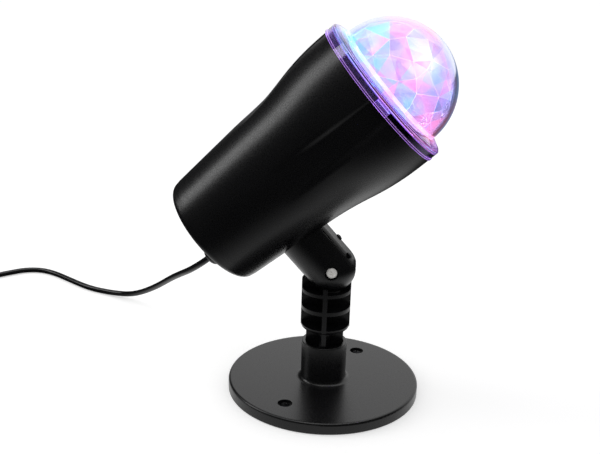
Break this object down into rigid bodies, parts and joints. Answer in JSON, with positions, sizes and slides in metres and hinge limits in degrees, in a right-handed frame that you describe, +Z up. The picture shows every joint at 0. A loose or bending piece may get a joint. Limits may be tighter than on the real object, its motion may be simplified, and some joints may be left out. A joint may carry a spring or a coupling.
{
  "type": "disco spotlight",
  "caption": "Tilting table spotlight: fluted housing with a clear violet dome over a turning faceted lens, ribbed post, round weighted base, mains cord in a coil with a plug.",
  "frame": {"origin": "middle of the base's underside, on the surface it stands on", "axes": "+Z up along the base's axis, +X the way the lamp head points over the base"},
  "size_m": [0.4563, 0.2661, 0.2528],
  "materials": {
    "base_plastic": "fine moulded satin, black",
    "arm_plastic": "moulded satin, black",
    "housing_plastic": "smooth satin gloss, black",
    "steel_plate": "zinc plated",
    "soft_pad": "soft foam rubber, black",
    "black_screw": "blackened steel",
    "steel_screw": "zinc plated",
    "bright_screw": "bright nickel plated",
    "violet_clear": "clear violet acrylic, polished",
    "facet_clear": "clear faceted acrylic",
    "white_plastic": "white moulded",
    "aluminium": "plain",
    "board": "white solder resist",
    "led_chip": "ceramic body with a clear window",
    "optic_clear": "clear",
    "motor_can": "zinc plated",
    "driver_parts": "mixed parts",
    "cord_jacket": "smooth black cord sheath",
    "wire_jacket": "wire insulation",
    "plug_plastic": "moulded black",
    "plug_pin": "nickel plated brass"
  },
  "bodies": {
    "base": {"base_cover": "base_plastic", "base_weight": "steel_plate", "base_pad": "soft_pad", "base_screws": "black_screw", "ribbed_post": "arm_plastic", "post_screw": "steel_screw", "cord_drop": "cord_jacket", "cord_floor": "cord_jacket", "cord_coil": "cord_jacket", "cord_tail": "cord_jacket", "plug_body": "plug_plastic", "plug_pins": "plug_pin"},
    "head": {"pivot_screw": "bright_screw", "pivot_nut": "steel_screw", "pivot_washers": "steel_screw", "arm_shell": "arm_plastic", "arm_cover": "arm_plastic", "arm_cover_screws": "black_screw", "arm_mount_screws": "steel_screw", "housing": "housing_plastic", "dome_cover": "violet_clear", "dome_gasket": "soft_pad", "heat_sink": "aluminium", "sink_screws": "steel_screw", "led_board": "board", "leds": "led_chip", "led_optics": "optic_clear", "motor": "motor_can", "motor_screws": "steel_screw", "driver_board": "board", "driver_screws": "steel_screw", "driver_parts": "driver_parts", "cord_gland": "arm_plastic", "gland_nut": "arm_plastic", "cord_entry": "cord_jacket", "mains_wires": "wire_jacket"},
    "rotor": {"rotor_lens": "facet_clear", "rotor_spider": "white_plastic", "motor_shaft": "steel_screw"}
  },
  "joints": [
    {"name": "head_tilt", "type": "hinge", "parent": "base", "child": "head", "pos_m": [0.0035, 0, 0.09], "axis": [0, 1, 0], "range_deg": [-30, 40], "deforming": ["cord_drop"]},
    {"name": "rotor_spin", "type": "hinge", "parent": "head", "child": "rotor", "pos_m": [0.03116, 0, 0.20801], "axis": [0.7385, 0, 0.6743], "continuous": true}
  ]
}
